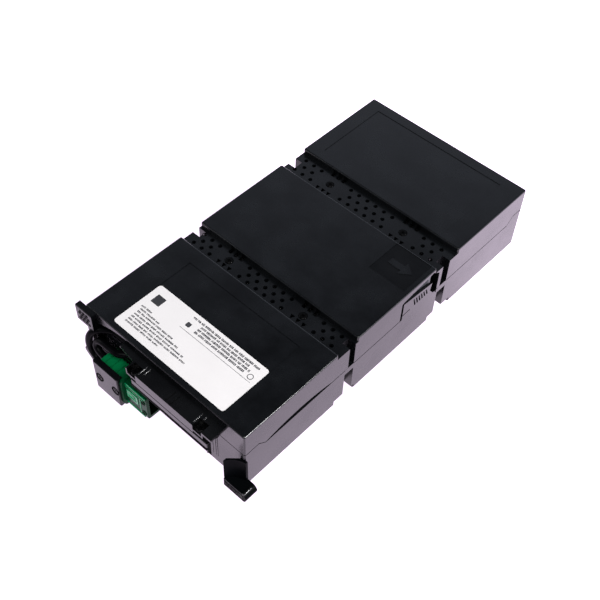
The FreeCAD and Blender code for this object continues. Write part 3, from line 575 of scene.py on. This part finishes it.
# %% Dashes of ink
INK_HEIGHT = 0.04 * MM
ink_low = label_high.z - 0.01 * MM
ink_middle = ink_low + INK_HEIGHT / 2
dice = random.Random(7)


def dash(x_range, y_range, corner):
    """A thin printed dash, in millimetres from the case's front middle."""
    size = (abs(x_range[1] - x_range[0]) * MM, abs(y_range[1] - y_range[0]) * MM, INK_HEIGHT)
    add_block((sum(x_range) / 2 * MM, front + sum(y_range) / 2 * MM, ink_middle), size)
    round_uprights(corner * MM, 2)
    bpy.ops.object.mode_set(mode="OBJECT")
    return settle("ink")


def row(start, end, y, height):
    """A row of dashes, grouped with wider gaps now and then."""
    shortest, narrow_gap, wide_gap = 0.6, 0.35, 1.3
    dashes = []
    x = start
    left_in_group = dice.randint(3, 8)
    while x < end - shortest:
        length = min(dice.choice((0.7, 1.0, 1.3)), end - x)
        lift = dice.choice((0, 0, 0.25))
        drop = dice.choice((0, 0, 0.3))
        dashes.append(dash((x, x + length), (y + lift, y + height - drop), 0.15))
        left_in_group -= 1
        x += length + (wide_gap if left_in_group == 0 else narrow_gap)
        left_in_group = dice.randint(3, 9) if left_in_group == 0 else left_in_group
    return dashes


# %% Two groups of rows, each row from X to X at a Y, and the line and the small mark
small_print, large_print = 1.9, 2.4
left_rows = ((-63.4, -50.5, 33.8), (-61.5, -36.5, 30.4), (-61.5, -16.0, 27.0),
             (-61.5, -5.0, 23.4), (-61.5, 4.5, 19.9), (-61.5, 11.0, 16.4),
             (-61.5, -19.0, 13.0))
right_rows = ((-20.0, 61.5, 56.5), (-7.0, 52.7, 52.8), (-8.0, 57.0, 49.2), (-8.0, 52.7, 45.5))
dashes = [ink for start, end, y in left_rows for ink in row(start, end, y, small_print)]
dashes += [ink for start, end, y in right_rows for ink in row(start, end, y, large_print)]
dashes.append(dash((-22.0, 64.5), (41.9, 42.3), 0.1))
dashes.append(dash((-20.0, -15.0), (46.0, 51.0), 0.8))
wear(join_as("label_rows", dashes), print_grey)
print(len(dashes), "dashes")

# %% Dark square
square = dash((-61.9, -51.6), (43.4, 53.8), 0.6)
square.name = "label_square"
wear(square, print_dark)


# %% Ring
def ring(name, place, outer, inner, height, sides, turn=(0, 0, 0)):
    """A flat ring in metres: a disc whose two faces are inset and bridged."""
    start_clean()
    bpy.ops.mesh.primitive_cylinder_add(vertices=sides, radius=outer, depth=height,
                                        location=place, rotation=turn)
    facing = Matrix.Rotation(turn[0], 3, "X") @ Vector((0, 0, 1))
    bpy.ops.object.mode_set(mode="EDIT")
    pick(lambda middle, normal: abs(normal.dot(facing)) > 0.9)
    bpy.ops.mesh.inset(thickness=outer - inner)
    bpy.ops.mesh.bridge_edge_loops()
    bpy.ops.object.mode_set(mode="OBJECT")
    return settle(name)


label_ring = ring("label_ring", (60.5 * MM, front + 46.8 * MM, ink_middle),
                  3.0 * MM, 2.3 * MM, INK_HEIGHT, 40)
wear(label_ring, print_grey)

# %% [markdown]
# ## Raised arrow
# The square field on the middle bay has a finer, darker grain than the bay, and carries a
# plain raised arrow. The arrow starts as a flat bar, whose end is widened and drawn to a
# point. It has the bay's own finish, so it shows faintly in the darker field.

# %% Darker field on the middle bay
field_black = moulded("field_black", (0.0010, 0.0012, 0.0016), 0.34, grain=0.0004,
                      depth=0.08, specular=0.24)
arrow_y = front + 231.7 * MM
arrow_floor = top - 0.5 * MM
add_block((74 * MM, arrow_y, arrow_floor - 0.03 * MM), (41.4 * MM, 41.4 * MM, 0.2 * MM))
round_uprights(0.8 * MM, 4)
bpy.ops.object.mode_set(mode="OBJECT")
wear(settle("arrow_field"), field_black)

# %% Arrow
add_block((69 * MM, arrow_y, arrow_floor + 0.2 * MM), (15 * MM, 7 * MM, 0.5 * MM))
pick(lambda middle, normal: normal.x > 0.9)
for length, widening in ((0.01, 2.4), (11, 0.04)):
    bpy.ops.mesh.extrude_region_move(TRANSFORM_OT_translate={"value": (length * MM, 0, 0)})
    bpy.ops.transform.resize(value=(1, widening, 1))
bpy.ops.object.mode_set(mode="OBJECT")
arrow = settle("arrow")
wear(arrow, case_black)
print("arrow", rounded(arrow.dimensions))

# %% [markdown]
# ## The two heavy leads
# In the CAD model the leads are made of flat-sided runs that meet in mitres. A real lead
# is one smooth round jacket. A curve does this best: a NURBS spline takes the route's
# points as its control points, rounds every turn by itself, and is given a round section.
# The spline cuts inside the corners of the route. So near the case's corners and windows
# its points were moved or added, until the jacket cleared the walls there.


# %% Smooth leads in place of the mitred ones
def smooth_lead(name, node, points, diameter):
    curve = bpy.data.curves.new(name, "CURVE")
    curve.dimensions = "3D"
    curve.bevel_depth = diameter / 2 * MM
    curve.bevel_resolution = 5
    curve.resolution_u = 14
    curve.use_fill_caps = True
    spline = curve.splines.new("NURBS")
    spline.points.add(len(points) - 1)
    for point, (x, y, z) in zip(spline.points, points):
        point.co = (x * MM, y * MM, z * MM, 1.0)
    spline.order_u = 3
    spline.use_endpoint_u = True
    lead = bpy.data.objects.new(name, curve)
    bpy.context.scene.collection.objects.link(lead)
    wear(lead, lead_black)
    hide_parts(node)
    print(name, "through", len(points), "points")


LEAD_DIAMETER = 7.0
smooth_lead("positive_lead_jacket", "positive_lead", (
    (-62, -208.25, 15.75), (-93, -208.25, 15.75), (-93, -208.25, 52), (-77, -193, 54.6),
    (-60, -192.6, 55.5), (-16, -192.6, 56), (0, -192.6, 56), (0, -176, 56), (0, -68, 56),
    (-24.5, -68, 61), (-24.5, -70.5, 61), (-24.5, -77.75, 61)), LEAD_DIAMETER)
smooth_lead("negative_lead_jacket", "negative_lead", (
    (-62, -208.25, 31.75), (-84, -208.25, 31.75), (-84, -204.95, 47), (-62, -204.6, 47.5),
    (-55, -204.15, 47.8), (-43, -192.6, 47.8), (-16, -192.6, 44.8), (0, -192.6, 43),
    (0, -176, 43), (0, -68, 43), (24.5, -68, 61), (24.5, -70.5, 61),
    (24.5, -77.75, 61)), LEAD_DIAMETER)

# %% [markdown]
# ## Small moulded forms
# Ridges, beads and raised fields all start in the same way: a block between two corners,
# with its edges rounded by a bevel. So one helper makes the block, and what makes each
# piece its own is added after it.


# %% A block with rounded edges, and a front face with a sunken middle
def soft_block(name, x, y, z, rounding, segments=3):
    """Block between pairs of coordinates in millimetres, its edges rounded."""
    add_block((sum(x) / 2 * MM, sum(y) / 2 * MM, sum(z) / 2 * MM),
              ((x[1] - x[0]) * MM, (y[1] - y[0]) * MM, (z[1] - z[0]) * MM))
    bpy.ops.mesh.select_all(action="SELECT")
    bpy.ops.mesh.bevel(offset=rounding * MM, segments=segments)
    bpy.ops.object.mode_set(mode="OBJECT")
    bpy.ops.object.shade_smooth_by_angle(angle=math.radians(40))
    return settle(name)


def sink_front(rim, depth):
    """In edit mode, inset the picked faces by a rim and push their middle in, in mm."""
    bpy.ops.mesh.inset(thickness=rim * MM)
    bpy.ops.mesh.extrude_region_move(TRANSFORM_OT_translate={"value": (0, depth * MM, 0)})
    bpy.ops.object.mode_set(mode="OBJECT")


def sink_middle(piece, beyond, rim, depth):
    """Sink the middle of a block's front face, the one that lies beyond a Y, in mm."""
    choose(piece)
    bpy.ops.object.mode_set(mode="EDIT")
    pick(lambda middle, normal: normal.y < -0.99 and middle.y < beyond * MM)
    sink_front(rim, depth)


# %% [markdown]
# ## Ridges on the hood
# The hood over the pull bar has thin ridges across it beside its screw pockets. They
# stiffen it, and their crests catch the light.

# %% Hood ridges
ridges = [soft_block("ridge", (x, x + 1.1), (low, -203.6), (70.7, 71.7), 0.4)
          for x, low in ((-12.9, -215.5), (-9.2, -212.5), (55.2, -215.5), (60.0, -208.0))]
wear(join_as("hood_ridges", ridges), edge_black)
print(len(ridges), "ridges")

# %% [markdown]
# ## Painted shade under the bar
# Under the pull bar the front wall is much darker than the case beside it, as it lies in
# shade, and the CAD model has a bare wall there. A matt black field paints that shade. It is
# a very thin block, whose front face is inset and sunk for a fine rim.

# %% Painted shade field
shade_field = soft_block("shade_field", (-4.0, 57.5), (-200.2, -199.85), (1.0, 48.5), 0.12, 2)
sink_middle(shade_field, -200.1, rim=0.8, depth=0.1)
wear(shade_field, shade_matt_black)
print("matt field", rounded(shade_field.dimensions))

# %% [markdown]
# ## Fine ribs on the front wall
# Three upright ribs stand on the front wall under the hood's right end. They are so thin
# that they show only as lines.

# %% Wall ribs
ribs = [soft_block("rib", (x, x + 0.6), (-200.3, -199.8), (9.0, 48.0), 0.2, 2)
        for x in (60.3, 63.8, 66.1)]
wear(join_as("wall_ribs", ribs), case_black)
print(len(ribs), "ribs")

# %% [markdown]
# ## Forms on the connector
# The connector's front has a raised field with a sunken middle, three beads across it and
# one upright, and two round pockets near the mouth. The field and the beads are glossier
# than the rest, because they stand proud and are polished by handling, and their much
# lighter green is a painted highlight. The field is a soft block whose front face is inset
# and pushed in.

# %% Raised field with a sunken middle
field = soft_block("connector_field", (-32.0, -17.5), (-217.3, -216.4), (20.5, 31.5), 0.4)
sink_middle(field, -217.2, rim=1.3, depth=0.45)
wear(field, connector_gloss_and_highlight)

# %% Beads
beads = [soft_block("bead", (-33.6, -7.0), (-217.1, -215.9), (37.2, 38.9), 0.55),
         soft_block("bead", (-33.6, -9.0), (-217.2, -216.2), (8.8, 10.6), 0.45),
         soft_block("bead", (-33.6, -10.0), (-216.95, -216.3), (33.6, 34.6), 0.3),
         soft_block("bead", (-14.9, -13.9), (-217.1, -216.3), (12.0, 34.0), 0.35)]
wear(join_as("connector_beads", beads), connector_gloss_and_highlight)


# %% Round pockets beside the mouth
def dished_disc(name, sides, radius, thickness, rim, depth):
    """A disc at the origin that faces forward, its front inset and pushed in, in mm."""
    start_clean()
    bpy.ops.mesh.primitive_cylinder_add(vertices=sides, radius=radius * MM,
                                        depth=thickness * MM, rotation=facing_front)
    bpy.ops.object.mode_set(mode="EDIT")
    pick(lambda middle, normal: normal.y < -0.9)
    sink_front(rim, depth)
    return settle(name)


# The pockets wear connector_shade, a near-black green that paints the shade in them.
pocket = dished_disc("pocket", 32, radius=2.7, thickness=0.9, rim=0.7, depth=0.7)
pockets = [copy_at(pocket, at(-10.4, -216.75, z)) for z in (30.6, 14.6)]
bpy.data.objects.remove(pocket)
wear(join_as("connector_pockets", pockets), connector_shade)
print("connector forms at", [rounded(corner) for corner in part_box("connector_housing")])

# %% [markdown]
# ## Glossy edges of the foot
# The foot at the right corner is matt, but the edge along its nose shows as a bright line,
# so it gets a slim rounded bead with a gloss. Finer beads between the grip grooves on its
# front do the same on a smaller scale.

# %% Foot edges
foot_low, foot_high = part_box("grip_right")
print("foot", rounded(foot_low), rounded(foot_high))
edges = [soft_block("edge", (107.9, 110.6), (-212.5, -202.0), (9.7, 11.7), 0.9, 4)]
edges += [soft_block("edge", (86.2, 108.6), (-212.75, -212.2), (z, z + 0.45), 0.2, 2)
          for z in (2.5, 4.75, 7.0)]
edges.append(soft_block("edge", (86.2, 108.6), (-212.65, -212.0), (10.5, 11.2), 0.3))
wear(join_as("foot_edges", edges), edge_black)

# %% [markdown]
# ## Dark pockets of the honeycomb
# Each pad of the left grip has six-sided pockets, which are a millimetre deep in the CAD
# model. That is too shallow to fall into shade at every angle, so a thin six-sided plate of
# matt black lies over each, as painted shade. It is a little wider than the pocket, which it
# closes, and it stands proud of the pad by a twentieth of a millimetre. One plate is
# modelled, with an inset rim, and copied to each pocket by the pad's own pitch.

# %% Plates over the pockets
POCKET_PITCH = 4.2
PLATE_LIFT = 0.90


def pocket_places(x_range, z_range, pocket_floor):
    """The plates' places on one pad, in staggered rows."""
    row_pitch = POCKET_PITCH * math.sqrt(3) / 2
    columns = int((x_range[1] - x_range[0]) / POCKET_PITCH)
    rows = max(1, int((z_range[1] - z_range[0]) / row_pitch))
    for row_number in range(rows):
        shift = 0.5 * (row_number % 2)
        z = sum(z_range) / 2 + (row_number - (rows - 1) / 2) * row_pitch
        for column in range(columns - row_number % 2):
            x = sum(x_range) / 2 + (column + shift - (columns - 1) / 2) * POCKET_PITCH
            yield at(x, pocket_floor - PLATE_LIFT, z)


# Painted shade for the pockets: one matt black plate, copied to each.
plate = dished_disc("pocket_shade_disc", 6, radius=2.02, thickness=0.3, rim=0.3, depth=0.15)
upper_pad = pocket_places((-106, -86), (57.9, 75.4), -204.95)
lower_pad = pocket_places((-99, -86), (2, 11), -204.45)
plates = [copy_at(plate, place) for pad in (upper_pad, lower_pad) for place in pad]
bpy.data.objects.remove(plate)
wear(join_as("pocket_shade_plates", plates), shade_matt_black)
print(len(plates), "plates over pockets")

# %% [markdown]
# ## Rims of the vents
# A dark rim around each round vent in the strips is painted shade that stands for its
# dished edge. It is a flat ring that lies on the strip, around the hole. One is modelled and
# copied along three staggered lines on each strip, in groups of three, six and three holes.
# The middle line has one hole less in each group.

# %% Vent rims
HOLE_PITCH = 10.7
VENTS_MIDDLE = -2.0
RIM_HEIGHT = 70.93
rim = ring("vent_rim", (0, 0, 0), 2.15 * MM, 1.5 * MM, 0.14 * MM, 16)
rims = []
for strip_middle, line_pitch in ((-70.45, 7.0), (71.75, 8.7)):
    for line in (-1, 0, 1):
        for group, count in ((-77.0, 3), (0.0, 6), (77.0, 3)):
            holes = count - (line == 0)
            for index in range(holes):
                x = VENTS_MIDDLE + group + (index - (holes - 1) / 2) * HOLE_PITCH
                rims.append(copy_at(rim, at(x, strip_middle + line * line_pitch, RIM_HEIGHT)))
bpy.data.objects.remove(rim)
wear(join_as("vent_shade_rims", rims), shade_matt_black)
print(len(rims), "vent rims")

# %% [markdown]
# ## Rings around the bracket's screws, and the bar's lower edge
# A dark ring shows around each of the bracket's screws, painted shade of its counterbore. It
# is modelled as a thin washer.
# The pull bar's lower strip ends in a dark line, painted shade where the strip turns under,
# which is modelled as a matt rolled edge.

# %% Washers
washers = [ring("washer", (x * MM, -222.65 * MM, 23.75 * MM), 4.9 * MM, 3.9 * MM, 0.5 * MM,
                40, facing_front) for x in (-63.0, -41.5)]
wear(join_as("bracket_screw_shade_rings", washers), shade_matt_black)

# %% Lower edge of the bar
edge = soft_block("bar_lower_shade_edge", (-21.1, 74.1), (-218.2, -217.3), (49.7, 52.8), 0.35)
wear(edge, shade_matt_black)
print("lower edge", rounded(edge.dimensions))

# %% [markdown]
# ## Floor and surroundings
# The cartridge lies on a pale floor that runs out of view. Black plastic shows little of
# its own colour: what is seen on it is the floor in its sides and the dim space above in
# its top. So the floor is bright and the sky overhead is dim, brightest low down. The
# floor gives off light of its own, more at the back, so that it stays pale beside the case.

# %% Floor
start_clean()
bpy.ops.mesh.primitive_plane_add(size=6.0, location=(0.3, 0.3, tray_low.z))
floor = settle("floor")
floor_white = bpy.data.materials.new("floor_white")
floor_white.use_nodes = True
floor_tree = floor_white.node_tree
floor_shader = floor_tree.nodes["Principled BSDF"]
set_inputs(floor_shader, {"Base Color": (0.26, 0.225, 0.27, 1), "Roughness": 0.9,
                          "Specular IOR Level": 0.1,
                          "Emission Color": (1.0, 0.85, 1.04, 1)})
floor_place = add_node(floor_tree, "TexCoord")
floor_split = add_node(floor_tree, "SeparateXYZ")
floor_glow = add_node(floor_tree, "MapRange", {"From Min": 0.03, "From Max": 0.16,
                                               "To Min": 1.12, "To Max": 1.92})
floor_glow.interpolation_type = "SMOOTHSTEP"
floor_tree.links.new(floor_place.outputs["Object"], floor_split.inputs["Vector"])
floor_tree.links.new(floor_split.outputs["Y"], floor_glow.inputs["Value"])
floor_tree.links.new(floor_glow.outputs["Result"], floor_shader.inputs["Emission Strength"])
floor.data.materials.append(floor_white)

# %% Sky, dim overhead and brighter towards the horizon
world = bpy.data.worlds.new("studio")
bpy.context.scene.world = world
world.use_nodes = True
sky = world.node_tree
background = sky.nodes["Background"]
direction = add_node(sky, "TexCoord")
split = add_node(sky, "SeparateXYZ")
sky.links.new(direction.outputs["Generated"], split.inputs["Vector"])
ramp = add_node(sky, "ValToRGB")
bands = ((0.0, 1.0), (0.50, 0.62), (0.65, 0.47), (0.72, 0.28), (0.77, 0.11),
         (0.83, 0.045), (1.0, 0.02))
for position, brightness in bands[1:-1]:
    ramp.color_ramp.elements.new(position)
for stop, (position, brightness) in zip(ramp.color_ramp.elements, bands):
    stop.position = position
    stop.color = (brightness * 0.91, brightness * 0.97, brightness * 1.15, 1)
sky.links.new(split.outputs["Z"], ramp.inputs["Fac"])
sky.links.new(ramp.outputs["Color"], background.inputs["Color"])

# The sky in front of the cartridge, towards -Y, is dim, so edges that face it stay dark.
dim = add_node(sky, "MapRange", {"From Min": -0.85, "From Max": -0.15,
                                 "To Min": 0.15, "To Max": 1.0})
sky.links.new(split.outputs["Y"], dim.inputs["Value"])
sky.links.new(dim.outputs["Result"], background.inputs["Strength"])

# %% Soft lights
light_target = Vector((0, 0, 0.03))


def softbox(name, place, side, power):
    """A square area light that faces the cartridge, in metres and watts."""
    data = bpy.data.lights.new(name, "AREA")
    data.shape = "RECTANGLE"
    data.size = data.size_y = side
    data.energy = power
    lamp = bpy.data.objects.new(name, data)
    bpy.context.scene.collection.objects.link(lamp)
    lamp.location = place
    towards = light_target - Vector(place)
    lamp.rotation_euler = towards.to_track_quat("-Z", "Y").to_euler()


softbox("key_light", (0.55, -0.75, 1.7), side=1.2, power=24)
softbox("edge_light", (1.75, 0.40, 0.80), side=0.40, power=42)
softbox("left_light", (-1.3, -0.9, 0.8), side=0.8, power=4)

# %% Show colours plainly
bpy.context.scene.view_settings.view_transform = "Standard"
